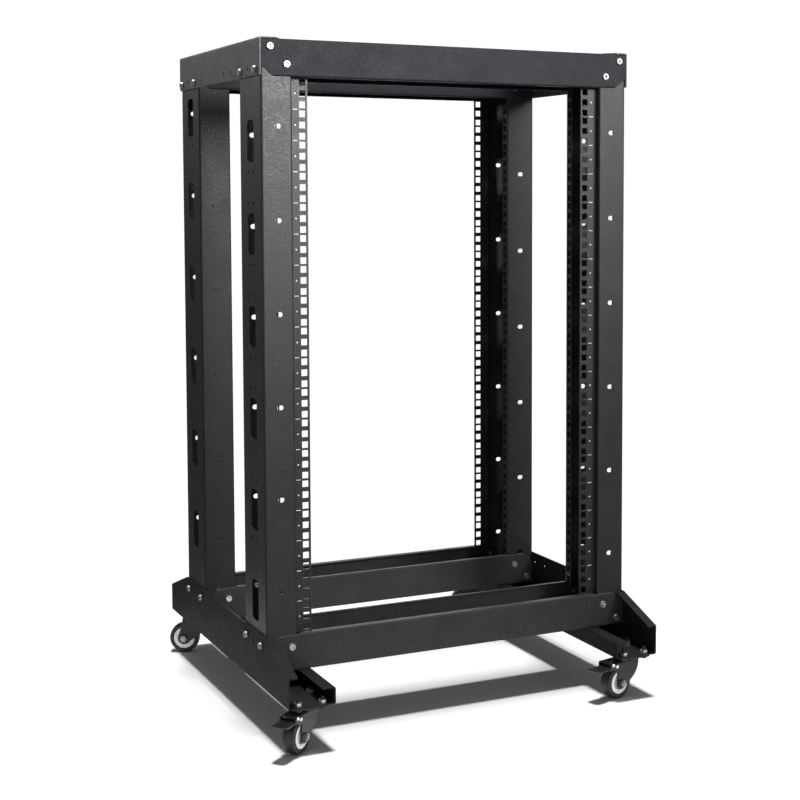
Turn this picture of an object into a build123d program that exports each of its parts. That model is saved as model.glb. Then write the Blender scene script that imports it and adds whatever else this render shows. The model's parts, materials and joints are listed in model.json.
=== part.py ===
"""Open-frame four-post 19 inch equipment rack, 18 units, on four swivel casters.

Frame: +X right, +Y to the back, +Z up, millimetres, origin on the floor at the
centre of the footprint.  The front of the rack faces -Y.
"""
from build123d import *
from math import cos, radians, sin
import os

# ---------------------------------------------------------------- rack sizes
UNIT = 44.45                    # one rack unit
RACK_UNITS = 18
UNIT_HOLE_HEIGHTS = (6.35, 22.225, 38.1)   # square holes within one unit
HOLE_ROW_SPACING = 465.1        # between the left and right hole rows
RAIL_OPENING = 450.0            # clear width between the rails
SQUARE_HOLE = 9.5

RACK_WIDTH = 600.0
FOOT_LENGTH = 600.0
FRAME_DEPTH = 404.0             # outer face to outer face of front and back posts
POST_DEPTH = 98.0
POST_FACE = 46.0                # width of a post's plain face
RAIL_RECESS = 12.0              # rail face behind the post face
SHEET = 2.0
BEND = 2.0                      # radius of a fold, on the sheet's middle line

CASTER_HEIGHT = 68.0            # floor to the underside of a foot
FOOT_HEIGHT = 78.0
FOOT_END_HEIGHT = 45.0
FOOT_WIDTH = 70.0
FOOT_INNER_HEIGHT = 25.0        # low inner wall of a foot
FOOT_INNER_LIP = 20.0
FOOT_SLOPE_LIP = 12.0
BEAM_HEIGHT = 53.0
BEAM_OUTER_LIP = 13.0
BEAM_INNER_LIP = 8.0
BEAM_CORNER = (19.0, 15.0)      # cut corner of a beam: along X, along Z
SIDE_MEMBER_HEIGHT = 53.0
SIDE_MEMBER_FLANGE = 34.0

# --------------------------------------------------------------- fasteners
SCREW_RADIUS = 3.0
SCREW_HOLE_RADIUS = 3.2
SCREW_HEAD_RADIUS = 5.5
SCREW_HEAD_HEIGHT = 3.2
NUT_RADIUS = 5.77
NUT_HEIGHT = 5.0
THREAD_END = 1.5                # thread standing past a nut
CASTER_THREAD_END = 5.0
BEAM_SCREWS = ((285.0, 11.0), (260.5, 35.5))   # distance from centre, from flange side
POST_SCREWS = (21.0, 88.0)      # from a post's front-facing face
SIDE_SCREW_RISE = 9.0           # above the side member's lower edge
FOOT_SCREW_DROP = 16.5          # below the foot's top edge

# ----------------------------------------------------------- post cut-outs
CABLE_SLOT = (30.0, 60.0)
CABLE_SLOT_CORNER = 7.0
FACE_SLOT = (10.0, 7.0)
FRONT_SLOT_X = 273.5            # slots of the front-facing flanges, from the centre
BACK_SLOT_X = 279.0             # slots of the back-facing flanges
SIDE_HOLE_RADIUS = 2.5
SIDE_HOLE_SPACING = 22.0
PATTERN_PITCH = 3               # rack units between repeats
LIP_DEPTH = 17.5                # return lip with its own row of square holes
LIP_HOLE_DEPTH = 10.7           # hole row behind the outer face of that flange
LIP_OVERHANG = 4.5              # lip stands this far inside the plain face
# Units below the top of the opening: cable slots, slots of the front-facing
# flange, slots of the back-facing flange.
PATTERNS = {
    "front_left": (2.01, 1.56, 1.78),
    "front_right": (2.01, 1.56, 1.78),
    "rear_left": (0.97, 1.14, 0.77),
    "rear_right": (2.76, 2.93, 2.54),
}

# ------------------------------------------------------------------ casters
CASTER_X = 265.0
CASTER_Y = 266.0
PLATE_SIZE = (52.0, 68.0)
PLATE_THICKNESS = 2.5
PLATE_BOLTS = (36.0, 50.0)
WHEEL_RADIUS = 25.0
TYRE_INNER_RADIUS = 17.5
TYRE_HALF_WIDTH = 10.0
HUB_HALF_WIDTH = 10.7
HUB_RIM_HALF_WIDTH = 9.0
HUB_RING_INNER_RADIUS = 11.5    # raised ring beside the tyre
HUB_WEB_HALF_WIDTH = 3.5
HUB_BOSS_RADIUS = 7.5
TRAIL = 22.0                    # swivel axis to axle
AXLE_RADIUS = 3.0
RUNNING_CLEARANCE = 0.05
FORK_SHEET = 2.3
FORK_INNER_HALF_WIDTH = 11.0
FORK_TOP = 60.0
FORK_HEAD_RADIUS = 18.0
FORK_TIP_RADIUS = 9.5           # rounded end of a leg, around the axle
KINGPIN_RADIUS = 4.0
HEADINGS = {                    # direction from swivel axis to axle, degrees
    "front_left": -140.0,
    "front_right": -165.0,
    "rear_left": 153.0,
    "rear_right": 160.0,
}
PEDAL_PIVOT = (-32.0, 53.0)     # along the caster, height
PEDAL_STOP = (-40.0, 55.9)
PEDAL_PIN_RADIUS = 2.0
STOP_PIN_RADIUS = 1.5
PEDAL_SHEET = 2.2
PEDAL_TIP = -74.0

# ------------------------------------------------------------ worked-out sizes
HALF_WIDTH = RACK_WIDTH / 2
POST_OUTER = HALF_WIDTH - SHEET
POST_INNER = POST_OUTER - POST_FACE
RAIL_INNER = RAIL_OPENING / 2
HOLE_ROW = HOLE_ROW_SPACING / 2
HALF_DEPTH = FRAME_DEPTH / 2
HALF_SHEET = SHEET / 2
FOOT_TOP = CASTER_HEIGHT + FOOT_HEIGHT
OPENING_BOTTOM = FOOT_TOP
OPENING_TOP = OPENING_BOTTOM + RACK_UNITS * UNIT
BASE_BEAM_BOTTOM = OPENING_BOTTOM - BEAM_HEIGHT
TOP_BEAM_TOP = OPENING_TOP + BEAM_HEIGHT
POST_BOTTOM = BASE_BEAM_BOTTOM + 1.5 * SHEET
POST_TOP = TOP_BEAM_TOP - 1.5 * SHEET
BEAM_HALF_LENGTH = POST_OUTER - HALF_SHEET
SIDE_MEMBER_TOP = TOP_BEAM_TOP + SHEET
SIDE_MEMBER_BOTTOM = SIDE_MEMBER_TOP - SIDE_MEMBER_HEIGHT
SIDE_SCREW_Z = SIDE_MEMBER_BOTTOM + SIDE_SCREW_RISE
FOOT_SCREW_Z = FOOT_TOP - FOOT_SCREW_DROP
FOOT_INNER = HALF_WIDTH - FOOT_WIDTH
PLATE_BOTTOM = CASTER_HEIGHT - PLATE_THICKNESS
LEG_OUTER = FORK_INNER_HALF_WIDTH + FORK_SHEET
LEG_MIDDLE = FORK_INNER_HALF_WIDTH + FORK_SHEET / 2

SIDES = {"left": -1, "right": 1}
ENDS = {"front": -1, "rear": 1}
CORNERS = {f"{end}_{side}": (ENDS[end], SIDES[side]) for end in ENDS for side in SIDES}


def depth_to_y(end, depth):
    """Y of a point `depth` inside the rack from the outer face of the posts."""
    return end * (HALF_DEPTH - depth)


def post_screw_depths(end):
    """Depths of the two side screws of a post, from its outer face."""
    return [d if end < 0 else POST_DEPTH - d for d in POST_SCREWS]


def save(builder, name):
    """Label a finished piece and write its STEP file."""
    builder.part.label = name
    export_step(builder.part, f"parts/{name}.step")


# ------------------------------------------------------------------- frame
def make_post(name, end, side):
    """Folded C post with its recessed 19 inch rail and a lip with side holes."""
    middle = HALF_SHEET
    rail_depth = RAIL_RECESS + middle
    back = POST_DEPTH - middle
    lip_x = POST_INNER - LIP_OVERHANG + middle
    profile = (
        (RAIL_INNER, rail_depth),
        (POST_INNER + middle, rail_depth),
        (POST_INNER + middle, middle),
        (POST_OUTER - middle, middle),
        (POST_OUTER - middle, back),
        (lip_x, back),
        (lip_x, POST_DEPTH - LIP_DEPTH),
    )
    points = [(side * x, depth_to_y(end, d)) for x, d in profile]
    cable, front_slot, back_slot = PATTERNS[name]
    front_flange = (front_slot, side * FRONT_SLOT_X)
    back_flange = (back_slot, side * BACK_SLOT_X)
    outer, inner = (front_flange, back_flange) if end < 0 else (back_flange, front_flange)

    def heights(first):
        """Heights of a repeating cut-out within the post."""
        rows = [OPENING_TOP - UNIT * (first + PATTERN_PITCH * k) for k in range(-1, 6)]
        return [z for z in rows if OPENING_BOTTOM < z < OPENING_TOP + 0.6 * UNIT]

    with BuildPart() as post:
        with BuildSketch(Plane.XY.offset(POST_BOTTOM)):
            with BuildLine():
                FilletPolyline(*points, radius=BEND)
            trace(line_width=SHEET)
        extrude(amount=POST_TOP - POST_BOTTOM)

        # Rail: three square holes in every unit.
        rail_plane = Plane(
            origin=(0, depth_to_y(end, RAIL_RECESS + SHEET), 0), x_dir=(1, 0, 0), z_dir=(0, end, 0)
        )
        up = rail_plane.y_dir.Z
        square_rows = [
            OPENING_BOTTOM + unit * UNIT + rise
            for unit in range(RACK_UNITS)
            for rise in UNIT_HOLE_HEIGHTS
        ]
        with BuildSketch(rail_plane):
            with Locations(*[(side * HOLE_ROW, up * z) for z in square_rows]):
                Rectangle(SQUARE_HOLE, SQUARE_HOLE)
        extrude(amount=SHEET * 1.5, both=True, mode=Mode.SUBTRACT)

        # Return lip: the same rows of square holes, facing sideways.
        lip_y = depth_to_y(end, POST_DEPTH - LIP_HOLE_DEPTH)
        with BuildSketch(Plane.YZ.offset(side * lip_x)):
            with Locations(*[(lip_y, z) for z in square_rows]):
                Rectangle(SQUARE_HOLE, SQUARE_HOLE)
        extrude(amount=SHEET, both=True, mode=Mode.SUBTRACT)

        # Outer wall: cable slots, small hole pairs and side screw holes.
        middle_y = depth_to_y(end, POST_DEPTH / 2)
        cable_rows = heights(cable)
        pair_rows = [
            z - k * UNIT for z in cable_rows for k in (1, 2) if z - k * UNIT > OPENING_BOTTOM
        ]
        with BuildSketch(Plane.YZ.offset(side * POST_OUTER)):
            with Locations(*[(middle_y, z) for z in cable_rows]):
                RectangleRounded(*CABLE_SLOT, CABLE_SLOT_CORNER)
            pairs = [
                (middle_y + sign * SIDE_HOLE_SPACING / 2, z) for z in pair_rows for sign in (-1, 1)
            ]
            with Locations(*pairs):
                Circle(SIDE_HOLE_RADIUS)
            screw_ys = [depth_to_y(end, d) for d in post_screw_depths(end)]
            with Locations(*[(y, z) for y in screw_ys for z in (SIDE_SCREW_Z, FOOT_SCREW_Z)]):
                Circle(SCREW_HOLE_RADIUS)
        extrude(amount=2 * SHEET, both=True, mode=Mode.SUBTRACT)

        # Both flanges: face slots and beam screw holes.
        for depth, (first, slot_x) in ((HALF_SHEET, outer), (back, inner)):
            face = Plane(origin=(0, depth_to_y(end, depth), 0), x_dir=(1, 0, 0), z_dir=(0, -1, 0))
            with BuildSketch(face):
                with Locations(*[(slot_x, z) for z in heights(first)]):
                    SlotOverall(*FACE_SLOT)
                beam_holes = [
                    (side * x, z)
                    for x, rise in BEAM_SCREWS
                    for z in (BASE_BEAM_BOTTOM + rise, TOP_BEAM_TOP - rise)
                ]
                with Locations(*beam_holes):
                    Circle(SCREW_HOLE_RADIUS)
            extrude(amount=SHEET, both=True, mode=Mode.SUBTRACT)
    save(post, f"post_{name}")


def make_beam(level, end):
    """Cross beam: a channel that holds the ends of two posts between its walls."""
    base = level == "base"
    flange = BASE_BEAM_BOTTOM if base else TOP_BEAM_TOP
    up = 1 if base else -1
    middle = HALF_SHEET
    near, far = -middle, POST_DEPTH + middle
    rim = BEAM_HEIGHT - middle
    profile = (
        (BEAM_OUTER_LIP - SHEET, rim),
        (near, rim),
        (near, middle),
        (far, middle),
        (far, rim),
        (POST_DEPTH + SHEET - BEAM_INNER_LIP, rim),
    )
    points = [(depth_to_y(end, d), flange + up * h) for d, h in profile]
    rim_z = flange + up * rim
    centre_y = depth_to_y(end, POST_DEPTH / 2)
    edge_z = flange + up * BEAM_HEIGHT
    corner_x, corner_z = BEAM_CORNER
    with BuildPart() as beam:
        with BuildSketch(Plane.YZ.offset(-BEAM_HALF_LENGTH)):
            with BuildLine():
                FilletPolyline(*points, radius=BEND)
            trace(line_width=SHEET)
        extrude(amount=2 * BEAM_HALF_LENGTH)
        # The lips stop where the posts stand.
        lip_end = POST_INNER - LIP_OVERHANG - 1.5
        room = BEAM_HALF_LENGTH - lip_end
        for side in SIDES.values():
            with Locations((side * (lip_end + room / 2), centre_y, rim_z)):
                Box(room, POST_DEPTH, 4 * SHEET, mode=Mode.SUBTRACT)
        with BuildSketch(Plane.XZ.offset(-centre_y)):
            for side in SIDES.values():
                end_x = side * BEAM_HALF_LENGTH
                with BuildLine():
                    Polyline(
                        (end_x, edge_z),
                        (end_x - side * corner_x, edge_z),
                        (end_x, edge_z - up * corner_z),
                        close=True,
                    )
                make_face()
            holes = [(side * x, flange + up * h) for side in SIDES.values() for x, h in BEAM_SCREWS]
            with Locations(*holes):
                Circle(SCREW_HOLE_RADIUS)
        extrude(amount=POST_DEPTH, both=True, mode=Mode.SUBTRACT)
    save(beam, f"{level}_beam_{'front' if end < 0 else 'rear'}")


def make_side_member(name, side):
    """Angle along the top of one side, bolted to the outer walls of its two posts."""
    middle = HALF_SHEET
    outer = HALF_WIDTH - middle
    points = (
        (side * outer, SIDE_MEMBER_BOTTOM),
        (side * outer, SIDE_MEMBER_TOP - middle),
        (side * (HALF_WIDTH - SIDE_MEMBER_FLANGE), SIDE_MEMBER_TOP - middle),
    )
    length = FRAME_DEPTH + 2 * SHEET
    slot_rise = 11.5
    slot_depths = (54.5, 132.0, 168.0, FRAME_DEPTH - 43.5)
    with BuildPart() as member:
        with BuildSketch(Plane.XZ.offset(-length / 2)):
            with BuildLine():
                FilletPolyline(*points, radius=BEND)
            trace(line_width=SHEET)
        extrude(amount=length)
        # The flange corners are cut back.
        flange_corner = 14.0
        with BuildSketch(Plane.XY.offset(SIDE_MEMBER_TOP - middle)):
            for end in ENDS.values():
                inner_x = side * (HALF_WIDTH - SIDE_MEMBER_FLANGE)
                end_y = end * length / 2
                with BuildLine():
                    Polyline(
                        (inner_x, end_y),
                        (inner_x + side * flange_corner, end_y),
                        (inner_x, end_y - end * flange_corner),
                        close=True,
                    )
                make_face()
        extrude(amount=SHEET, both=True, mode=Mode.SUBTRACT)
        with BuildSketch(Plane.YZ.offset(side * outer)):
            screws = [
                (depth_to_y(end, d), SIDE_SCREW_Z)
                for end in ENDS.values()
                for d in post_screw_depths(end)
            ]
            with Locations(*screws):
                Circle(SCREW_HOLE_RADIUS)
            with Locations(*[(d - HALF_DEPTH, SIDE_MEMBER_BOTTOM + slot_rise) for d in slot_depths]):
                SlotOverall(8.0, 3.6, rotation=90)
        extrude(amount=SHEET, both=True, mode=Mode.SUBTRACT)
    save(member, f"top_side_member_{name}")


def make_foot(name, side):
    """Long foot: tall outer wall, floor, and a low inner wall with a lip."""
    middle = HALF_SHEET
    outer = HALF_WIDTH - middle
    inner = FOOT_INNER + middle
    inner_top = CASTER_HEIGHT + FOOT_INNER_HEIGHT
    half_length = FOOT_LENGTH / 2
    slope_start = HALF_DEPTH + SHEET
    end_top = CASTER_HEIGHT + FOOT_END_HEIGHT
    points = (
        (side * outer, FOOT_TOP),
        (side * outer, CASTER_HEIGHT + middle),
        (side * inner, CASTER_HEIGHT + middle),
        (side * inner, inner_top - middle),
        (side * (FOOT_INNER + FOOT_INNER_LIP), inner_top - middle),
    )
    small_holes = (180.0, 262.0, 298.0)
    with BuildPart() as foot:
        with BuildSketch(Plane.XZ.offset(-half_length)):
            with BuildLine():
                FilletPolyline(*points, radius=BEND)
            trace(line_width=SHEET)
        extrude(amount=FOOT_LENGTH)
        # The outer wall slopes down beyond the posts.
        with BuildSketch(Plane.YZ.offset(side * outer)):
            for end in ENDS.values():
                with BuildLine():
                    Polyline(
                        (end * slope_start, FOOT_TOP),
                        (end * half_length, end_top),
                        (end * half_length, FOOT_TOP),
                        close=True,
                    )
                make_face()
            screws = [
                (depth_to_y(end, d), FOOT_SCREW_Z)
                for end in ENDS.values()
                for d in post_screw_depths(end)
            ]
            with Locations(*screws):
                Circle(SCREW_HOLE_RADIUS)
            with Locations(*[(d - HALF_DEPTH, FOOT_SCREW_Z) for d in small_holes]):
                Circle(SIDE_HOLE_RADIUS)
            with Locations(*[(d - HALF_DEPTH, FOOT_SCREW_Z) for d in (54.5, FRAME_DEPTH - 43.5)]):
                SlotOverall(8.0, 3.6, rotation=90)
        extrude(amount=SHEET, both=True, mode=Mode.SUBTRACT)
        # Its sloping edges are folded inwards.
        with BuildSketch(Plane.YZ.offset(side * (HALF_WIDTH - SHEET))):
            for end in ENDS.values():
                with BuildLine():
                    Polyline(
                        (end * (slope_start + 4), FOOT_TOP - 4 * (FOOT_TOP - end_top)
                         / (half_length - slope_start)),
                        (end * half_length, end_top),
                        (end * half_length, end_top - SHEET),
                        (end * (slope_start + 4), FOOT_TOP - SHEET - 4 * (FOOT_TOP - end_top)
                         / (half_length - slope_start)),
                        close=True,
                    )
                make_face()
        extrude(amount=-side * FOOT_SLOPE_LIP)
        with Locations(*[(side * CASTER_X, end * CASTER_Y, CASTER_HEIGHT) for end in ENDS.values()]):
            with GridLocations(*PLATE_BOLTS, 2, 2):
                Cylinder(SCREW_HOLE_RADIUS, 4 * SHEET, mode=Mode.SUBTRACT)
    save(foot, f"base_foot_{name}")


# --------------------------------------------------------------- fasteners
def pan_head_screw(length):
    """One screw: its head stands on the XY plane and its shank goes down."""
    with BuildPart() as screw:
        with BuildSketch(Plane.XY.offset(-length)):
            Circle(SCREW_RADIUS)
        extrude(amount=length)
        with BuildSketch():
            Circle(SCREW_HEAD_RADIUS)
        extrude(amount=SCREW_HEAD_HEIGHT, taper=12)
        with BuildSketch(Plane.XY.offset(SCREW_HEAD_HEIGHT)):
            Rectangle(5.6, 1.1)
            Rectangle(1.1, 5.6)
        extrude(amount=-1.6, mode=Mode.SUBTRACT)
    return screw.part


def hex_nut():
    """One nut standing on the XY plane."""
    with BuildPart() as nut:
        with BuildSketch():
            RegularPolygon(NUT_RADIUS, 6)
            Circle(SCREW_RADIUS, mode=Mode.SUBTRACT)
        extrude(amount=NUT_HEIGHT)
    return nut.part


def save_group(piece, planes, name):
    """Place one piece on every plane and save them as one part."""
    with BuildPart() as group:
        with Locations(*planes):
            add(piece)
    save(group, name)


def facing(x, y, z, normal):
    """Plane at a point, facing along `normal`, with its x across the rack."""
    across_x = (0, 1, 0) if normal[0] else (1, 0, 0)
    return Plane(origin=(x, y, z), x_dir=across_x, z_dir=normal)


def make_beam_fasteners(level):
    """Screws through the beam walls and the post flanges, with their nuts."""
    heads = []
    backs = []
    for end in ENDS.values():
        for side in SIDES.values():
            for x, rise in BEAM_SCREWS:
                z = BASE_BEAM_BOTTOM + rise if level == "base" else TOP_BEAM_TOP - rise
                for depth, way in ((-SHEET, end), (POST_DEPTH + SHEET, -end)):
                    heads.append(facing(side * x, depth_to_y(end, depth), z, (0, way, 0)))
                for depth, way in ((SHEET, -end), (POST_DEPTH - SHEET, end)):
                    backs.append(facing(side * x, depth_to_y(end, depth), z, (0, way, 0)))
    save_group(pan_head_screw(2 * SHEET + NUT_HEIGHT + THREAD_END), heads, f"{level}_beam_screws")
    save_group(hex_nut(), backs, f"{level}_beam_nuts")


def make_side_fasteners(name, height):
    """Screws through a side member or foot and the post walls, with their nuts."""
    points = [
        (side, depth_to_y(end, d))
        for side in SIDES.values()
        for end in ENDS.values()
        for d in post_screw_depths(end)
    ]
    heads = [facing(side * HALF_WIDTH, y, height, (side, 0, 0)) for side, y in points]
    inner = POST_OUTER - SHEET
    backs = [facing(side * inner, y, height, (-side, 0, 0)) for side, y in points]
    save_group(pan_head_screw(2 * SHEET + NUT_HEIGHT + THREAD_END), heads, f"{name}_screws")
    save_group(hex_nut(), backs, f"{name}_nuts")


def make_caster_fasteners():
    """Bolts that hold the caster plates to the feet, heads below, nuts inside."""
    points = [
        (side * CASTER_X + dx * PLATE_BOLTS[0] / 2, end * CASTER_Y + dy * PLATE_BOLTS[1] / 2)
        for side in SIDES.values()
        for end in ENDS.values()
        for dx in (-1, 1)
        for dy in (-1, 1)
    ]
    heads = [facing(x, y, PLATE_BOTTOM, (0, 0, -1)) for x, y in points]
    backs = [facing(x, y, CASTER_HEIGHT + SHEET, (0, 0, 1)) for x, y in points]
    length = PLATE_THICKNESS + SHEET + NUT_HEIGHT + CASTER_THREAD_END
    save_group(pan_head_screw(length), heads, "caster_bolts")
    save_group(hex_nut(), backs, "caster_nuts")


# ----------------------------------------------------------------- casters
def caster_frame(name):
    """Plane on the floor under a swivel axis; its -y points to the axle."""
    end, side = CORNERS[name]
    heading = radians(HEADINGS[name])
    return Plane(
        origin=(side * CASTER_X, end * CASTER_Y, 0),
        x_dir=(-sin(heading), cos(heading), 0),
        z_dir=(0, 0, 1),
    )


def across(frame, x):
    """Plane across a caster: sketch x runs along it, sketch y is height."""
    return Plane(
        origin=frame.from_local_coords((x, 0, 0)), x_dir=frame.y_dir, z_dir=frame.x_dir
    )


def make_caster_plate(name):
    """Mounting plate with the pressed cup that carries the swivel."""
    end, side = CORNERS[name]
    x, y = side * CASTER_X, end * CASTER_Y
    cup_bottom = FORK_TOP + 3.5
    with BuildPart() as plate:
        with BuildSketch(Plane.XY.offset(PLATE_BOTTOM)):
            with Locations((x, y)):
                RectangleRounded(*PLATE_SIZE, 6)
                with GridLocations(*PLATE_BOLTS, 2, 2):
                    Circle(SCREW_HOLE_RADIUS, mode=Mode.SUBTRACT)
        extrude(amount=PLATE_THICKNESS)
        with BuildSketch(Plane.XY.offset(cup_bottom)):
            with Locations((x, y)):
                Circle(18.5)
        extrude(amount=PLATE_BOTTOM - cup_bottom)
        with BuildSketch(Plane.XY.offset(cup_bottom + 1.5)):
            with Locations((x, y)):
                Circle(17)
        extrude(amount=CASTER_HEIGHT - cup_bottom, mode=Mode.SUBTRACT)
        with BuildSketch(Plane.XY.offset(cup_bottom)):
            with Locations((x, y)):
                Circle(KINGPIN_RADIUS)
        extrude(amount=2, mode=Mode.SUBTRACT)
    save(plate, f"caster_plate_{name}")


def make_kingpin(name):
    """Riveted pin that the fork turns on, with a head above and below."""
    end, side = CORNERS[name]
    axis_plane = Plane(origin=(side * CASTER_X, end * CASTER_Y, 0), x_dir=(1, 0, 0), z_dir=(0, -1, 0))
    seat = FORK_TOP + 3.5 + 1.5
    under = FORK_TOP - FORK_SHEET - 0.3
    with BuildPart() as kingpin:
        with BuildSketch(axis_plane):
            with BuildLine():
                Polyline(
                    (0, under - 2.6),
                    (4.8, under - 2.6),
                    (6.4, under - 1.2),
                    (6.4, under),
                    (KINGPIN_RADIUS, under),
                    (KINGPIN_RADIUS, seat),
                    (7.0, seat),
                    (7.0, seat + 1.2),
                    (5.5, seat + 2.2),
                    (0, seat + 2.2),
                    close=True,
                )
            make_face()
        revolve(axis=Axis((side * CASTER_X, end * CASTER_Y, 0), (0, 0, 1)))
    save(kingpin, f"kingpin_{name}")


def make_swivel_race(name):
    """Ring of the ball race, seated on the fork under the plate's cup."""
    end, side = CORNERS[name]
    axis_plane = Plane(origin=(side * CASTER_X, end * CASTER_Y, 0), x_dir=(1, 0, 0), z_dir=(0, -1, 0))
    top = FORK_TOP + 3.2
    with BuildPart() as race:
        with BuildSketch(axis_plane):
            with BuildLine():
                Line((8.0, FORK_TOP), (16.5, FORK_TOP))
                Line((16.5, FORK_TOP), (16.5, top - 1.6))
                ThreePointArc((16.5, top - 1.6), (15.2, top - 0.3), (13.5, top))
                Line((13.5, top), (8.0, top - 1.4))
                Line((8.0, top - 1.4), (8.0, FORK_TOP))
            make_face()
        revolve(axis=Axis((side * CASTER_X, end * CASTER_Y, 0), (0, 0, 1)))
    save(race, f"swivel_race_{name}")


def make_fork(name):
    """Pressed fork: round head on the kingpin and two legs down to the axle."""
    frame = caster_frame(name)
    braked = name.startswith("front")
    arm = -46.0 if braked else -32.0
    top = FORK_TOP - FORK_SHEET / 2
    bottom = 10.0

    def tip(angle):
        """Point on the rounded end of a leg."""
        turn = radians(angle)
        return (-TRAIL + FORK_TIP_RADIUS * cos(turn), WHEEL_RADIUS + FORK_TIP_RADIUS * sin(turn))

    with BuildPart() as fork:
        with BuildSketch(Plane(origin=frame.from_local_coords((0, arm, 0)), x_dir=-frame.x_dir,
                               z_dir=frame.y_dir)):
            with BuildLine():
                FilletPolyline(
                    (-LEG_MIDDLE, bottom), (-LEG_MIDDLE, top), (LEG_MIDDLE, top),
                    (LEG_MIDDLE, bottom), radius=3.0,
                )
            trace(line_width=FORK_SHEET)
        extrude(amount=16 - arm)
        with BuildSketch(across(frame, 0)):
            with BuildLine():
                Line((16, FORK_TOP), (16, 52))
                Spline((16, 52), (4, 31), tip(-50), tangents=[(-0.15, -1), (-0.77, -0.64)])
                ThreePointArc(tip(-50), tip(-120), tip(-194))
                if braked:
                    Line(tip(-194), (-27.5, 43))
                    Line((-27.5, 43), (arm, 50))
                    Line((arm, 50), (arm, FORK_TOP))
                    Line((arm, FORK_TOP), (16, FORK_TOP))
                else:
                    Line(tip(-194), (-24, 52))
                    Line((-24, 52), (-24, FORK_TOP))
                    Line((-24, FORK_TOP), (16, FORK_TOP))
            make_face()
        extrude(amount=LEG_OUTER + 1, both=True, mode=Mode.INTERSECT)
        with BuildSketch(frame.offset(FORK_TOP - FORK_SHEET)):
            Circle(FORK_HEAD_RADIUS)
        extrude(amount=FORK_SHEET)
        with BuildSketch(frame.offset(FORK_TOP - 2 * FORK_SHEET)):
            Circle(KINGPIN_RADIUS + RUNNING_CLEARANCE)
        extrude(amount=3 * FORK_SHEET, mode=Mode.SUBTRACT)
        with BuildSketch(across(frame, 0)):
            with Locations((-TRAIL, WHEEL_RADIUS)):
                Circle(AXLE_RADIUS)
            if braked:
                with Locations(PEDAL_PIVOT):
                    Circle(PEDAL_PIN_RADIUS)
                with Locations(PEDAL_STOP):
                    Circle(STOP_PIN_RADIUS)
        extrude(amount=LEG_OUTER + 1, both=True, mode=Mode.SUBTRACT)
    save(fork, f"fork_{name}")


def wheel_axis(frame):
    """Axle axis of a caster."""
    return Axis(frame.from_local_coords((0, -TRAIL, WHEEL_RADIUS)), frame.x_dir)


def wheel_plane(frame):
    """Plane through the axle: sketch x is along the axle, sketch y is radius."""
    return Plane(
        origin=frame.from_local_coords((0, -TRAIL, WHEEL_RADIUS)),
        x_dir=frame.x_dir,
        z_dir=-frame.y_dir,
    )


def make_tyre(name):
    """Rubber tyre with rounded shoulders."""
    frame = caster_frame(name)
    shoulder = 3.5
    with BuildPart() as tyre:
        with BuildSketch(wheel_plane(frame)):
            with BuildLine():
                Line((-HUB_RIM_HALF_WIDTH, TYRE_INNER_RADIUS), (HUB_RIM_HALF_WIDTH, TYRE_INNER_RADIUS))
                Line((HUB_RIM_HALF_WIDTH, TYRE_INNER_RADIUS),
                     (TYRE_HALF_WIDTH, TYRE_INNER_RADIUS + 1.5))
                Line((TYRE_HALF_WIDTH, TYRE_INNER_RADIUS + 1.5),
                     (TYRE_HALF_WIDTH, WHEEL_RADIUS - shoulder))
                ThreePointArc(
                    (TYRE_HALF_WIDTH, WHEEL_RADIUS - shoulder),
                    (TYRE_HALF_WIDTH - 1.1, WHEEL_RADIUS - 1.3),
                    (TYRE_HALF_WIDTH - shoulder, WHEEL_RADIUS - 0.4),
                )
                ThreePointArc(
                    (TYRE_HALF_WIDTH - shoulder, WHEEL_RADIUS - 0.4),
                    (0, WHEEL_RADIUS),
                    (shoulder - TYRE_HALF_WIDTH, WHEEL_RADIUS - 0.4),
                )
                ThreePointArc(
                    (shoulder - TYRE_HALF_WIDTH, WHEEL_RADIUS - 0.4),
                    (1.1 - TYRE_HALF_WIDTH, WHEEL_RADIUS - 1.3),
                    (-TYRE_HALF_WIDTH, WHEEL_RADIUS - shoulder),
                )
                Line((-TYRE_HALF_WIDTH, WHEEL_RADIUS - shoulder),
                     (-TYRE_HALF_WIDTH, TYRE_INNER_RADIUS + 1.5))
                Line((-TYRE_HALF_WIDTH, TYRE_INNER_RADIUS + 1.5),
                     (-HUB_RIM_HALF_WIDTH, TYRE_INNER_RADIUS))
            make_face()
        revolve(axis=wheel_axis(frame))
    save(tyre, f"tyre_{name}")


def make_hub(name):
    """Plastic hub with a dished web and a bore that runs on the axle."""
    frame = caster_frame(name)
    bore = AXLE_RADIUS + RUNNING_CLEARANCE
    rim = HUB_RIM_HALF_WIDTH
    web = HUB_WEB_HALF_WIDTH
    half = (
        (HUB_HALF_WIDTH, bore),
        (HUB_HALF_WIDTH, HUB_BOSS_RADIUS - 1),
        (HUB_HALF_WIDTH - 1, HUB_BOSS_RADIUS),
        (web, HUB_BOSS_RADIUS + 0.6),
        (web, HUB_RING_INNER_RADIUS - 1),
        (rim, HUB_RING_INNER_RADIUS),
        (rim, TYRE_INNER_RADIUS),
    )
    outline = list(half) + [(-x, r) for x, r in reversed(half)]
    with BuildPart() as hub:
        with BuildSketch(wheel_plane(frame)):
            with BuildLine():
                Polyline(*outline, close=True)
            make_face()
        revolve(axis=wheel_axis(frame))
    save(hub, f"wheel_hub_{name}")


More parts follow.
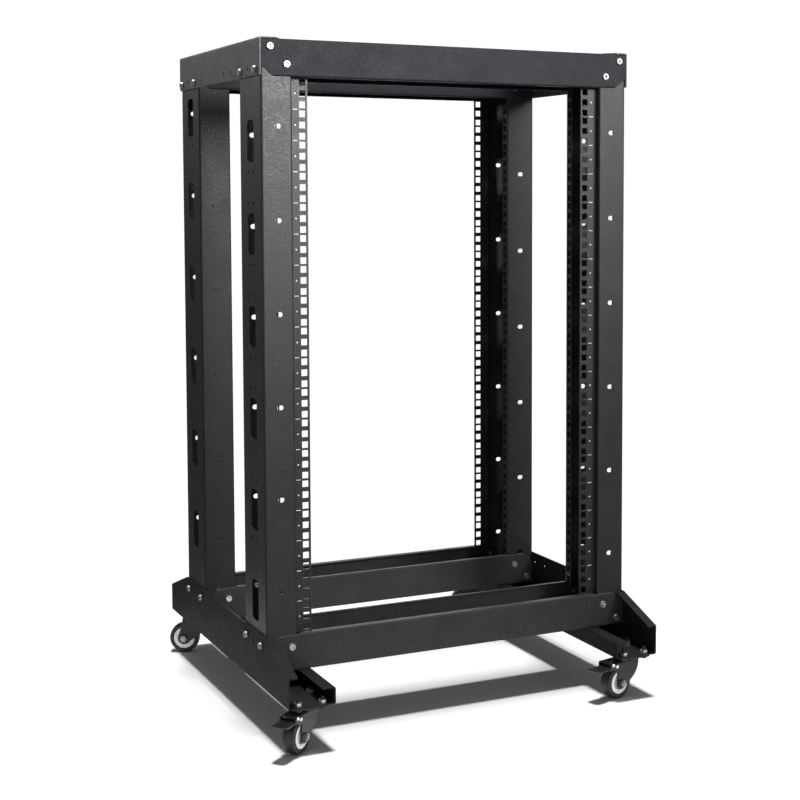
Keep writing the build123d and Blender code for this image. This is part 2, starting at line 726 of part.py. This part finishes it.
def make_axle(name):
    """Axle bolt through the fork, and the nut on its other end."""
    frame = caster_frame(name)
    height = (-TRAIL, WHEEL_RADIUS)
    with BuildPart() as bolt:
        with BuildSketch(across(frame, -LEG_OUTER - 4)):
            with Locations(height):
                RegularPolygon(NUT_RADIUS, 6)
        extrude(amount=4)
        with BuildSketch(across(frame, -LEG_OUTER)):
            with Locations(height):
                Circle(AXLE_RADIUS)
        extrude(amount=2 * LEG_OUTER + NUT_HEIGHT + 1.2)
    save(bolt, f"axle_bolt_{name}")
    with BuildPart() as nut:
        with BuildSketch(across(frame, LEG_OUTER)):
            with Locations(height):
                RegularPolygon(NUT_RADIUS, 6)
                Circle(AXLE_RADIUS, mode=Mode.SUBTRACT)
        extrude(amount=NUT_HEIGHT)
        fillet(nut.edges().filter_by(lambda e: e.length < 6.5).group_by(
            SortBy.LENGTH)[0].filter_by(GeomType.LINE), 0.4)
    save(nut, f"axle_nut_{name}")


def make_pedal(name):
    """Brake pedal: a plate on a pivot boss, with a shoe over the tyre."""
    frame = caster_frame(name)
    pivot_y, pivot_z = PEDAL_PIVOT
    narrow = FORK_INNER_HALF_WIDTH - 0.6
    with BuildPart() as pedal:
        with BuildSketch(across(frame, 0)):
            with BuildLine():
                Spline((pivot_y, pivot_z), (-46, 51.4), (-60, 49.6), (PEDAL_TIP, 53.0))
            trace(line_width=PEDAL_SHEET)
            with Locations((pivot_y, pivot_z)):
                Circle(3.6)
            with BuildLine():
                Polyline((-38.5, 51.6), (-43.5, 51.0), (-43.5, 46.6), (-40.5, 46.4), close=True)
            make_face()
        extrude(amount=12.5, both=True)
        with BuildSketch(frame.offset(pivot_z - 15)):
            with BuildLine():
                Polyline(
                    (-narrow, -24), (-narrow, -47), (-12.5, -51), (-12.5, -68), (-8, PEDAL_TIP - 2),
                    (8, PEDAL_TIP - 2), (12.5, -68), (12.5, -51), (narrow, -47), (narrow, -24),
                    close=True,
                )
            make_face()
        extrude(amount=30, mode=Mode.INTERSECT)
        with BuildSketch(across(frame, 0)):
            with Locations((pivot_y, pivot_z)):
                Circle(PEDAL_PIN_RADIUS + RUNNING_CLEARANCE)
        extrude(amount=15, both=True, mode=Mode.SUBTRACT)
    save(pedal, f"brake_pedal_{name}")


def make_brake_pins(name):
    """Pivot rivet and stop rivet of the brake, through both legs."""
    frame = caster_frame(name)
    with BuildPart() as pins:
        for centre, radius in ((PEDAL_PIVOT, PEDAL_PIN_RADIUS), (PEDAL_STOP, STOP_PIN_RADIUS)):
            with BuildSketch(across(frame, -LEG_OUTER)):
                with Locations(centre):
                    Circle(radius)
            extrude(amount=2 * LEG_OUTER)
            for start, way in ((LEG_OUTER, 1), (-LEG_OUTER, -1)):
                with BuildSketch(across(frame, start)):
                    with Locations(centre):
                        Circle(radius + 1.2)
                extrude(amount=way * 1.4, taper=25)
    save(pins, f"brake_pins_{name}")


os.makedirs("parts", exist_ok=True)
for corner, (end_sign, side_sign) in CORNERS.items():
    make_post(corner, end_sign, side_sign)
for end_sign in ENDS.values():
    make_beam("top", end_sign)
    make_beam("base", end_sign)
for side_name, side_sign in SIDES.items():
    make_side_member(side_name, side_sign)
    make_foot(side_name, side_sign)
make_beam_fasteners("top")
make_beam_fasteners("base")
make_side_fasteners("side_member", SIDE_SCREW_Z)
make_side_fasteners("foot", FOOT_SCREW_Z)
make_caster_fasteners()
for corner in CORNERS:
    make_caster_plate(corner)
    make_kingpin(corner)
    make_swivel_race(corner)
    make_fork(corner)
    make_tyre(corner)
    make_hub(corner)
    make_axle(corner)
for corner in ("front_left", "front_right"):
    make_pedal(corner)
    make_brake_pins(corner)
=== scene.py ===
"""Looks, light and camera for the open-frame equipment rack."""
import json
from math import cos, pi, radians, sin

import bmesh
import bpy
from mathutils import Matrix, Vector

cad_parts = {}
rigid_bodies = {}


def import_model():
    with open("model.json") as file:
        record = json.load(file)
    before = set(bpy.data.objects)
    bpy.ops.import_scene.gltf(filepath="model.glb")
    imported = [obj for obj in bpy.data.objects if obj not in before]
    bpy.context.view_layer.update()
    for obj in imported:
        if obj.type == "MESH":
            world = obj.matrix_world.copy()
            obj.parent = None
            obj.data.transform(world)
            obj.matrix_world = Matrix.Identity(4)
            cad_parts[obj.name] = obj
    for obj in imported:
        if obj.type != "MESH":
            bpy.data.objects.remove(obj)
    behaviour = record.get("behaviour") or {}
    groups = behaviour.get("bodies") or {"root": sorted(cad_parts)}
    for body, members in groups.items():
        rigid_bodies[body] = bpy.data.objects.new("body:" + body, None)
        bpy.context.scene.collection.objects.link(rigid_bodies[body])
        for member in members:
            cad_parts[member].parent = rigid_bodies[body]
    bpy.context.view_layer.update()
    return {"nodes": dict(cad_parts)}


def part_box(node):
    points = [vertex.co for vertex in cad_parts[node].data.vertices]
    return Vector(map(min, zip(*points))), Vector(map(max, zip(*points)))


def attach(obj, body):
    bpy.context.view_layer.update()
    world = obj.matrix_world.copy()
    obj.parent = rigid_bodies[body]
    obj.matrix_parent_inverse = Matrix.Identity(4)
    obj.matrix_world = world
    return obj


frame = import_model()
NODES = frame["nodes"]
UNIT = 0.04445                  # height of one rack unit, metres
RACK_UNITS = 18
OPENING_BOTTOM = 0.146          # height of the lowest unit's lower edge
RAIL_RECESS = 0.012             # rail face behind the post's outer face
MARK_X = 0.2435                 # printed marks, from the middle of the rack
MARK_LIFT = 0.00008             # the marks stand this far off the rail
LINE_HALF_SIZE = (0.0034, 0.00045)
DOT_RADIUS = 0.0011
DOT_CORNERS = 12
BEAM_EDGE = 0.0006              # how wide the broken edges are
OTHER_EDGE = 0.0003
EDGE_ANGLE = radians(35)        # corners sharper than this are broken
FLOOR_REACH = 0.50              # half the floor's side
BACKDROP_LEVEL = 1.05           # what the camera sees behind the rack
AMBIENT_LEVEL = 0.16            # what lights the rack from all around
OVERHEAD_DIRECTION = (0.0, 0.01, -1.0)
OVERHEAD_STRENGTH = 4.0
OVERHEAD_SOFTNESS = 9.0         # degrees
PITCH = radians(4.0)            # the camera looks down by this much
YAW = 0.471                     # and to the right of the rack's depth axis, radians
LENS = 70.56
SENSOR = 36.0
SHIFT = (-0.126, -0.119)
EYE = (-1.0015, -2.324, 0.7795)


# ------------------------------------------------------------------ node helpers
class Graph:
    """Short calls for building one node material."""

    def __init__(self, name):
        self.material = bpy.data.materials.new(name)
        self.material.use_nodes = True
        self.nodes = self.material.node_tree.nodes
        self.links = self.material.node_tree.links
        self.shader = self.nodes["Principled BSDF"]
        self.coords = self.nodes.new("ShaderNodeTexCoord").outputs["Object"]

    def join(self, source, target):
        self.links.new(source, target)

    def put(self, socket, value):
        """Set a socket from a number, a colour or another node's output."""
        if isinstance(value, bpy.types.NodeSocket):
            self.join(value, socket)
        else:
            socket.default_value = value

    def noise(self, scale, detail=3.0, roughness=0.5):
        node = self.nodes.new("ShaderNodeTexNoise")
        self.put(node.inputs["Scale"], scale)
        self.put(node.inputs["Detail"], detail)
        self.put(node.inputs["Roughness"], roughness)
        self.join(self.coords, node.inputs["Vector"])
        return node.outputs["Fac"]

    def span(self, value, low, high, to_low=0.0, to_high=1.0):
        """Map a value from one range to another, clamped."""
        node = self.nodes.new("ShaderNodeMapRange")
        self.put(node.inputs["Value"], value)
        self.put(node.inputs["From Min"], low)
        self.put(node.inputs["From Max"], high)
        self.put(node.inputs["To Min"], to_low)
        self.put(node.inputs["To Max"], to_high)
        return node.outputs["Result"]

    def mix(self, factor, first, second):
        node = self.nodes.new("ShaderNodeMix")
        node.data_type = "RGBA"
        self.put(node.inputs["Factor"], factor)
        self.put(node.inputs["A"], (*first, 1.0) if isinstance(first, tuple) else first)
        self.put(node.inputs["B"], (*second, 1.0) if isinstance(second, tuple) else second)
        return node.outputs["Result"]

    def maths(self, operation, first, second):
        node = self.nodes.new("ShaderNodeMath")
        node.operation = operation
        self.put(node.inputs[0], first)
        self.put(node.inputs[1], second)
        return node.outputs["Value"]

    def bump(self, height, distance, strength=1.0, normal=None):
        node = self.nodes.new("ShaderNodeBump")
        self.put(node.inputs["Height"], height)
        node.inputs["Distance"].default_value = distance
        node.inputs["Strength"].default_value = strength
        if normal:
            self.join(normal, node.inputs["Normal"])
        return node.outputs["Normal"]

    def edges(self, radius):
        """How far the surface turns within a radius: 1 on an edge, 0 on a flat."""
        bevel = self.nodes.new("ShaderNodeBevel")
        bevel.samples = 4
        bevel.inputs["Radius"].default_value = radius
        geometry = self.nodes.new("ShaderNodeNewGeometry")
        dot = self.nodes.new("ShaderNodeVectorMath")
        dot.operation = "DOT_PRODUCT"
        self.join(bevel.outputs["Normal"], dot.inputs[0])
        self.join(geometry.outputs["Normal"], dot.inputs[1])
        return self.span(dot.outputs["Value"], 0.995, 0.80)


# --------------------------------------------------------------------- materials
def powder_coat(name, colour, light, roughness, shine, grain=1500.0):
    """Fine-textured powder coat: orange-peel bump, mottling, dust and rubbed edges."""
    g = Graph(name)
    mottle = g.noise(22.0, 4.0, 0.6)
    speckle = g.noise(620.0, 2.0)
    base = g.mix(g.span(mottle, 0.35, 0.68), colour, light)
    base = g.mix(g.span(speckle, 0.55, 0.75, 0.0, 0.5), base, tuple(c * 2.4 for c in light))
    dust = g.maths("MULTIPLY", g.span(g.noise(6.0, 5.0, 0.7), 0.52, 0.75), 0.12)
    base = g.mix(dust, base, tuple(c * 1.6 + 0.002 for c in light))
    edges = g.edges(0.0009)
    rub = g.maths("MULTIPLY", edges, g.span(g.noise(60.0, 4.0, 0.7), 0.38, 0.62, 0.25, 1.0))
    base = g.mix(g.maths("MULTIPLY", rub, 0.6), base, (0.10, 0.10, 0.105))
    g.put(g.shader.inputs["Base Color"], base)
    rough = g.span(g.noise(35.0, 3.0), 0.3, 0.7, roughness - 0.03, roughness + 0.04)
    rough = g.maths("ADD", rough, g.span(g.noise(grain * 0.2, 2.0), 0.35, 0.65, -0.05, 0.05))
    polish = g.maths("MULTIPLY", rub, 0.25)
    g.put(g.shader.inputs["Roughness"], g.maths("SUBTRACT", rough, polish))
    peel = g.bump(g.noise(grain, 2.0, 0.6), 0.00012, 0.55)
    peel = g.bump(g.noise(grain * 0.2, 2.0, 0.6), 0.00045, 0.60, peel)
    g.put(g.shader.inputs["Normal"], g.bump(g.noise(40.0, 2.0), 0.0002, 0.06, peel))
    g.shader.inputs["Specular IOR Level"].default_value = shine
    # A warm tint on the coat's reflections: painted warm light.
    g.shader.inputs["Specular Tint"].default_value = (1.0, 0.985, 0.965, 1.0)
    return g.material


def zinc(name, colour, roughness):
    """Bright zinc plate: slightly cloudy metal with fine drawing marks."""
    g = Graph(name)
    cloud = g.noise(180.0, 4.0, 0.6)
    base = g.mix(g.span(cloud, 0.35, 0.7), colour, tuple(c * 0.82 for c in colour))
    grime = g.maths("MULTIPLY", g.span(g.noise(420.0, 3.0), 0.55, 0.72), 0.35)
    base = g.mix(grime, base, tuple(c * 0.55 for c in colour))
    # Every edge and recess is darkened strongly: painted shade on the rims and in the slots.
    base = g.mix(g.maths("MULTIPLY", g.edges(0.0012), 0.85), base, tuple(c * 0.12 for c in colour))
    g.put(g.shader.inputs["Base Color"], base)
    g.shader.inputs["Metallic"].default_value = 1.0
    g.put(g.shader.inputs["Roughness"], g.span(cloud, 0.3, 0.7, roughness - 0.06, roughness + 0.1))
    g.put(g.shader.inputs["Normal"], g.bump(g.noise(2500.0, 2.0), 0.00004, 0.5))
    return g.material


def rubber(name):
    """Black tyre rubber with a grey bloom and fine grain."""
    g = Graph(name)
    bloom = g.span(g.noise(90.0, 4.0, 0.65), 0.4, 0.72)
    base = g.mix(bloom, (0.006, 0.006, 0.0065), (0.018, 0.0175, 0.017))
    scuff = g.maths("MULTIPLY", g.span(g.noise(500.0, 3.0), 0.58, 0.7), 0.4)
    base = g.mix(scuff, base, (0.045, 0.044, 0.042))
    g.put(g.shader.inputs["Base Color"], base)
    g.put(g.shader.inputs["Roughness"], g.span(bloom, 0.0, 1.0, 0.48, 0.68))
    g.put(g.shader.inputs["Normal"], g.bump(g.noise(1400.0, 3.0), 0.0001, 0.5))
    return g.material


def moulded_plastic(name, colour, shade):
    """Moulded plastic with soft mottling and patches of grime."""
    g = Graph(name)
    base = g.mix(g.span(g.noise(70.0, 3.0), 0.3, 0.7), colour, shade)
    grime = g.maths("MULTIPLY", g.span(g.noise(160.0, 4.0, 0.7), 0.55, 0.72), 0.18)
    base = g.mix(grime, base, tuple(c * 0.5 for c in shade))
    g.put(g.shader.inputs["Base Color"], base)
    g.put(g.shader.inputs["Roughness"], g.span(g.noise(120.0, 2.0), 0.3, 0.7, 0.38, 0.52))
    g.put(g.shader.inputs["Normal"], g.bump(g.noise(900.0, 2.0), 0.00008, 0.4))
    return g.material


def plain_paint(name, colour, roughness):
    """Printed marks: thin paint, a little worn."""
    g = Graph(name)
    worn = g.span(g.noise(700.0, 3.0), 0.45, 0.75, 0.0, 0.6)
    g.put(g.shader.inputs["Base Color"], g.mix(worn, colour, tuple(c * 0.6 for c in colour)))
    g.shader.inputs["Roughness"].default_value = roughness
    return g.material


# Front and rear posts carry one black powder coat in two copies: the front copy is brighter and
# shinier, painted light; the rear copy is darker and duller, painted shade for the light falling
# off towards the back.
FRONT_POST_COAT_LIT_COPY = powder_coat(
    "front_post_coat_lit_copy", (0.013, 0.013, 0.014), (0.018, 0.018, 0.0195), 0.44, 0.41
)
REAR_POST_COAT_SHADED_COPY = powder_coat(
    "rear_post_coat_shaded_copy", (0.012, 0.012, 0.013), (0.016, 0.016, 0.0175), 0.48, 0.24
)
BEAM_PAINT = powder_coat(
    "beam_powder_coat", (0.014, 0.0138, 0.0185), (0.019, 0.0187, 0.0245), 0.55, 0.12
)
# Base beams: a lighter copy of the beams' black coat, painted light on the low beams.
BASE_BEAM_COAT_LIT_COPY = powder_coat(
    "base_beam_coat_lit_copy", (0.028, 0.0277, 0.031), (0.035, 0.0346, 0.0385), 0.55, 0.12
)
# Top side members: a lighter, warmer copy of the black coat, painted light on the top side
# members.
SIDE_MEMBER_COAT_LIT_COPY = powder_coat(
    "side_member_coat_lit_copy", (0.042, 0.038, 0.041), (0.052, 0.047, 0.051), 0.50, 0.45
)
# Feet: a darker, duller copy of the black coat, painted shade on the feet near the floor.
FOOT_COAT_SHADED_COPY = powder_coat(
    "foot_coat_shaded_copy", (0.010, 0.0098, 0.0098), (0.014, 0.0137, 0.0137), 0.60, 0.08
)
CASTER_PAINT = powder_coat(
    "caster_black", (0.006, 0.006, 0.0065), (0.010, 0.010, 0.0105), 0.36, 0.4, 1100.0
)
PEDAL_PAINT = powder_coat(
    "pedal_black", (0.008, 0.008, 0.0085), (0.013, 0.013, 0.0135), 0.34, 0.4, 1300.0
)
# Top beam screws: a darker copy of the zinc, painted shade that dims their reflection.
TOP_SCREW_ZINC_SHADED_COPY = zinc("top_screw_zinc_shaded_copy", (0.30, 0.30, 0.31), 0.40)
# Base beam screws, caster nuts and brake pins: a near-white copy of the zinc, painted light that
# keeps them bright near the floor.
ZINC_LIT_COPY = zinc("zinc_lit_copy", (0.95, 0.95, 0.95), 0.36)
DULL_ZINC = zinc("dull_zinc", (0.36, 0.35, 0.34), 0.40)
TYRE_RUBBER = rubber("tyre_rubber")
HUB_PLASTIC = moulded_plastic("hub_plastic", (0.86, 0.85, 0.79), (0.78, 0.765, 0.70))
MARK_PAINT = plain_paint("mark_paint", (0.80, 0.80, 0.78), 0.55)

FINISH = (
    ("post_front_", FRONT_POST_COAT_LIT_COPY),
    ("post_rear_", REAR_POST_COAT_SHADED_COPY),
    ("top_beam_screws", TOP_SCREW_ZINC_SHADED_COPY),
    ("base_beam_screws", ZINC_LIT_COPY),
    ("side_member_screws", DULL_ZINC),
    ("foot_screws", DULL_ZINC),
    ("top_beam_nuts", DULL_ZINC),
    ("base_beam_nuts", DULL_ZINC),
    ("side_member_nuts", DULL_ZINC),
    ("foot_nuts", DULL_ZINC),
    ("caster_bolts", CASTER_PAINT),
    ("caster_nuts", ZINC_LIT_COPY),
    ("top_beam_", BEAM_PAINT),
    ("base_beam_", BASE_BEAM_COAT_LIT_COPY),
    ("top_side_member_", SIDE_MEMBER_COAT_LIT_COPY),
    ("base_foot_", FOOT_COAT_SHADED_COPY),
    ("caster_plate_", CASTER_PAINT),
    ("fork_", CASTER_PAINT),
    ("kingpin_", DULL_ZINC),
    ("swivel_race_", DULL_ZINC),
    ("axle_bolt_", DULL_ZINC),
    ("axle_nut_", DULL_ZINC),
    ("brake_pins_", ZINC_LIT_COPY),
    ("brake_pedal_", PEDAL_PAINT),
    ("tyre_", TYRE_RUBBER),
    ("wheel_hub_", HUB_PLASTIC),
)


def finish_for(name):
    """The material of a CAD node, by the start of its name."""
    return next(material for start, material in FINISH if name.startswith(start))


def break_edges(piece, width):
    """Round every sharp edge a little, so that it catches the light."""
    bevel = piece.modifiers.new("broken_edges", "BEVEL")
    bevel.width = width
    bevel.segments = 2
    bevel.limit_method = "ANGLE"
    bevel.angle_limit = EDGE_ANGLE
    bevel.use_clamp_overlap = True
    bevel.harden_normals = True


for node_name, node in NODES.items():
    node.data.materials.clear()
    node.data.materials.append(finish_for(node_name))
    if not node_name.startswith("tyre_"):
        break_edges(node, BEAM_EDGE if "_beam_" in node_name else OTHER_EDGE)


# ---------------------------------------------------------------- printed marks
def flat_piece(marks, outline, centre_x, y, z):
    """One upright face from an outline of (across, up) points."""
    marks.faces.new([marks.verts.new((centre_x + x, y, z + up)) for x, up in outline])


def rail_marks(corner, facing):
    """White lines at each unit and dots between them, printed on a rail's face."""
    low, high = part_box(f"post_{corner}")
    centre_x = -MARK_X if corner.endswith("left") else MARK_X
    post_face = low.y if facing < 0 else high.y
    y = post_face - facing * (RAIL_RECESS - MARK_LIFT)
    half_length, half_width = LINE_HALF_SIZE
    line = [
        (-half_length, -half_width),
        (half_length, -half_width),
        (half_length, half_width),
        (-half_length, half_width),
    ]
    turns = [2 * pi * step / DOT_CORNERS for step in range(DOT_CORNERS)]
    dot = [(DOT_RADIUS * cos(turn), DOT_RADIUS * sin(turn)) for turn in turns]
    mesh = bpy.data.meshes.new(f"rail_marks_{corner}")
    marks = bmesh.new()
    for unit in range(RACK_UNITS + 1):
        z = OPENING_BOTTOM + unit * UNIT
        if 0 < unit < RACK_UNITS:
            flat_piece(marks, line, centre_x, y, z)
        if unit < RACK_UNITS:
            flat_piece(marks, dot, centre_x, y, z + UNIT / 2)
    bmesh.ops.recalc_face_normals(marks, faces=marks.faces)
    marks.to_mesh(mesh)
    marks.free()
    piece = bpy.data.objects.new(f"rail_marks_{corner}", mesh)
    bpy.context.scene.collection.objects.link(piece)
    mesh.materials.append(MARK_PAINT)
    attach(piece, "rack")


for rail_end, rail_facing in (("front", -1), ("rear", 1)):
    for rail_side in ("left", "right"):
        rail_marks(f"{rail_end}_{rail_side}", rail_facing)


# ------------------------------------------------------------------ floor and light
def stage_floor():
    """Plain pale floor, ending well outside the shadow."""
    mesh = bpy.data.meshes.new("floor")
    reach = FLOOR_REACH
    mesh.from_pydata(
        [(-reach, -reach, 0), (reach, -reach, 0), (reach, reach, 0), (-reach, reach, 0)],
        [],
        [(0, 1, 2, 3)],
    )
    floor = bpy.data.objects.new("floor", mesh)
    bpy.context.scene.collection.objects.link(floor)
    g = Graph("floor_paper")
    paper = g.mix(g.noise(3.0), (0.90, 0.90, 0.90), (0.93, 0.93, 0.93))
    g.put(g.shader.inputs["Base Color"], paper)
    g.shader.inputs["Roughness"].default_value = 0.9
    g.shader.inputs["Specular IOR Level"].default_value = 0.1
    mesh.materials.append(g.material)


def area_light(name, place, target, size, power, spread):
    """Rectangular softbox aimed at a point; below 180 degrees a grid narrows its beam."""
    data = bpy.data.lights.new(name, "AREA")
    data.shape = "RECTANGLE"
    data.size, data.size_y = size
    data.energy = power
    data.spread = radians(spread)
    light = bpy.data.objects.new(name, data)
    bpy.context.scene.collection.objects.link(light)
    light.location = place
    light.rotation_mode = "QUATERNION"
    light.rotation_quaternion = (Vector(target) - Vector(place)).to_track_quat("-Z", "Y")
    light.visible_camera = False
    return light


def keep_off_floor(light):
    """Limit what a light reaches to the rack, so that the floor gets none of it."""
    rack = bpy.data.collections.new(f"{light.name}_reach")
    for piece in bpy.context.scene.objects:
        if piece.type == "MESH" and piece.name != "floor":
            rack.objects.link(piece)
    light.light_linking.receiver_collection = rack


def overhead_light(direction, strength, softness):
    """Strong light from above, which throws the rack's shadow straight down."""
    data = bpy.data.lights.new("overhead", "SUN")
    data.energy = strength
    data.angle = radians(softness)
    light = bpy.data.objects.new("overhead", data)
    bpy.context.scene.collection.objects.link(light)
    light.rotation_mode = "QUATERNION"
    light.rotation_quaternion = Vector(direction).to_track_quat("-Z", "Y")


def studio_world(seen, ambient):
    """White backdrop for the camera, dim surroundings for everything else."""
    world = bpy.data.worlds.new("studio")
    bpy.context.scene.world = world
    world.use_nodes = True
    tree = world.node_tree
    background = tree.nodes["Background"]
    background.inputs["Color"].default_value = (1.0, 1.0, 1.0, 1.0)
    path = tree.nodes.new("ShaderNodeLightPath")
    level = tree.nodes.new("ShaderNodeMapRange")
    level.inputs["To Min"].default_value = ambient
    level.inputs["To Max"].default_value = seen
    tree.links.new(path.outputs["Is Camera Ray"], level.inputs["Value"])
    tree.links.new(level.outputs["Result"], background.inputs["Strength"])


stage_floor()
studio_world(BACKDROP_LEVEL, AMBIENT_LEVEL)
overhead_light(OVERHEAD_DIRECTION, OVERHEAD_STRENGTH, OVERHEAD_SOFTNESS)

# Name, place, aim, size, power and beam width in degrees.
SOFTBOXES = (
    ("gridded_softbox", (0.88, -3.3, 1.95), (-0.1, -0.3, 1.35), (1.5, 1.3), 21.0, 46.0),
    ("rear_softbox", (-1.45, 2.9, 1.85), (-0.3, 0.0, 1.1), (1.4, 1.0), 0.65, 34.0),
    ("back_softbox", (1.7, 3.2, 1.15), (0.1, 0.0, 0.35), (2.6, 1.5), 50.0, 180.0),
    ("front_fill", (-2.3, -3.2, 1.3), (0.0, 0.0, 0.5), (3.0, 2.4), 26.0, 180.0),
)
for softbox in SOFTBOXES:
    keep_off_floor(area_light(*softbox))

# --------------------------------------------------------------------------- camera
camera_data = bpy.data.cameras.new("camera")
camera = bpy.data.objects.new("camera", camera_data)
bpy.context.scene.collection.objects.link(camera)
camera_data.sensor_width = SENSOR
camera_data.lens = LENS
camera_data.shift_x, camera_data.shift_y = SHIFT
camera_data.clip_start = 0.05
camera_data.clip_end = 200.0
camera.location = EYE
camera.rotation_euler = (pi / 2 - PITCH, 0.0, -YAW)
bpy.context.scene.camera = camera
bpy.context.scene.view_settings.view_transform = "Standard"
